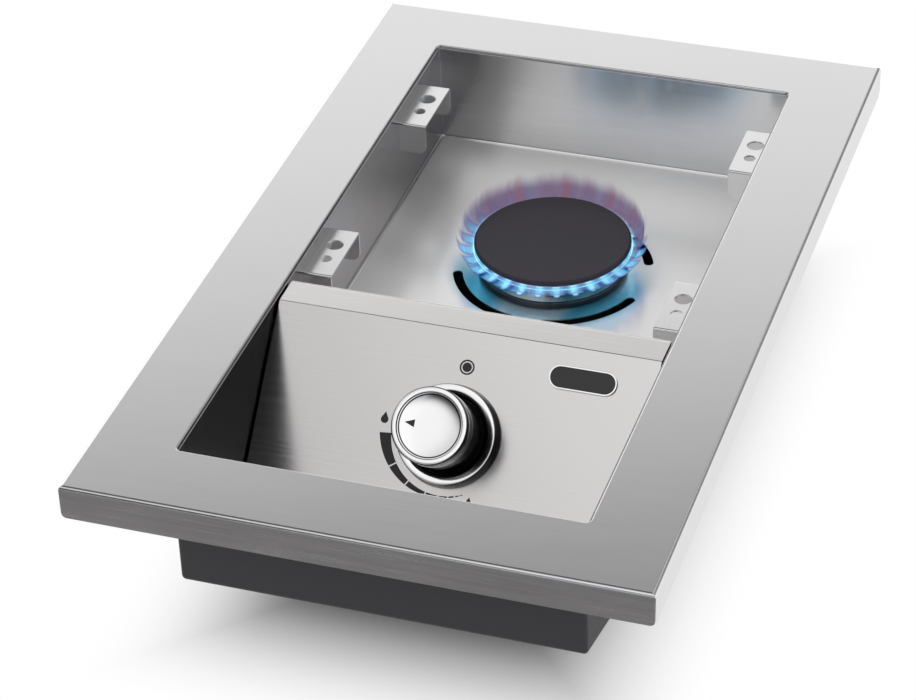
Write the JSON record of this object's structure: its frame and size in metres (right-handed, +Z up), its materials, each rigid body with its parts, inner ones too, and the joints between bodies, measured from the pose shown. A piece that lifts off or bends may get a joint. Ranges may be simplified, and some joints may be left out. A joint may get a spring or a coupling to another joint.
{
  "type": "built in side burner",
  "caption": "Drop-in gas burner unit with a wide trim frame, sunk basin, round sealed burner, pan support brackets and a sloping control panel with a push-and-turn knob.",
  "frame": {"origin": "under the middle of the trim frame, on the surface that the base tray stands on", "axes": "+X to the right as the cook faces the knob, +Y to the back, +Z up"},
  "size_m": [0.324, 0.535, 0.13],
  "materials": {
    "frame_steel": "brushed along the width",
    "inner_steel": "fine brushed, bright",
    "tray_paint": "dark grey, satin",
    "plain_steel": "mill finish",
    "plated_steel": "bright zinc plated",
    "cap_enamel": "matt dark enamel",
    "head_aluminium": "machined",
    "base_casting": "darkened casting",
    "gasket_fibre": "matt",
    "brass": "machined",
    "valve_casting": "pressed brass, matt",
    "black_moulding": "satin",
    "lead_jacket": "silicone sleeve",
    "ceramic": "glazed",
    "bright_chrome": "polished",
    "knob_black": "gloss",
    "liner_black": "gloss",
    "black_print": "screen print, satin",
    "plate_black": "gloss enamel"
  },
  "bodies": {
    "unit": {"trim_frame": "frame_steel", "casing": "inner_steel", "base_tray": "tray_paint", "burner_pan": "inner_steel", "control_panel": "inner_steel", "heat_shield": "plain_steel", "bracket_back_left": "inner_steel", "bracket_back_right": "inner_steel", "bracket_front_left": "inner_steel", "bracket_front_right": "inner_steel", "tray_screws": "plated_steel", "burner_cap": "cap_enamel", "burner_head": "head_aluminium", "burner_base": "base_casting", "burner_gasket": "gasket_fibre", "burner_screws": "plated_steel", "mixing_tube": "plated_steel", "injector": "brass", "injector_nut": "plated_steel", "injector_holder": "brass", "holder_tube_nut": "brass", "gas_tube": "plated_steel", "valve_tube_nut": "brass", "valve_body": "valve_casting", "valve_bonnet": "valve_casting", "bonnet_screws": "plated_steel", "valve_screws": "plated_steel", "piezo_igniter": "black_moulding", "igniter_lead": "lead_jacket", "electrode_insulator": "ceramic", "electrode_rod": "plated_steel", "electrode_clip": "plated_steel", "electrode_screw": "plated_steel", "manifold_pipe": "plated_steel", "inlet_fitting": "brass", "inlet_locknut": "brass", "bezel": "bright_chrome", "bezel_liner": "liner_black", "bezel_nuts": "plated_steel", "dial_marks": "black_print", "name_plate": "bright_chrome", "name_plate_inlay": "plate_black"},
    "rotor": {"valve_rotor": "brass", "stem_spring": "plated_steel"},
    "knob": {"valve_stem": "plated_steel", "knob_body": "knob_black", "knob_band": "bright_chrome", "knob_ring": "bright_chrome", "knob_face": "bright_chrome", "knob_pointer": "black_print"}
  },
  "joints": [
    {"name": "valve_turn", "type": "hinge", "parent": "unit", "child": "rotor", "pos_m": [0.0015, -0.11201, 0.08376], "axis": [0, -0.7254, 0.6884], "range_deg": [-90, 110]},
    {"name": "knob_push", "type": "slide", "parent": "rotor", "child": "knob", "axis": [0, 0.7254, -0.6884], "range_m": [0, 0.004], "stiffness_N_per_m": 1500, "springref_m": -0.002, "deforming": ["stem_spring"]}
  ]
}
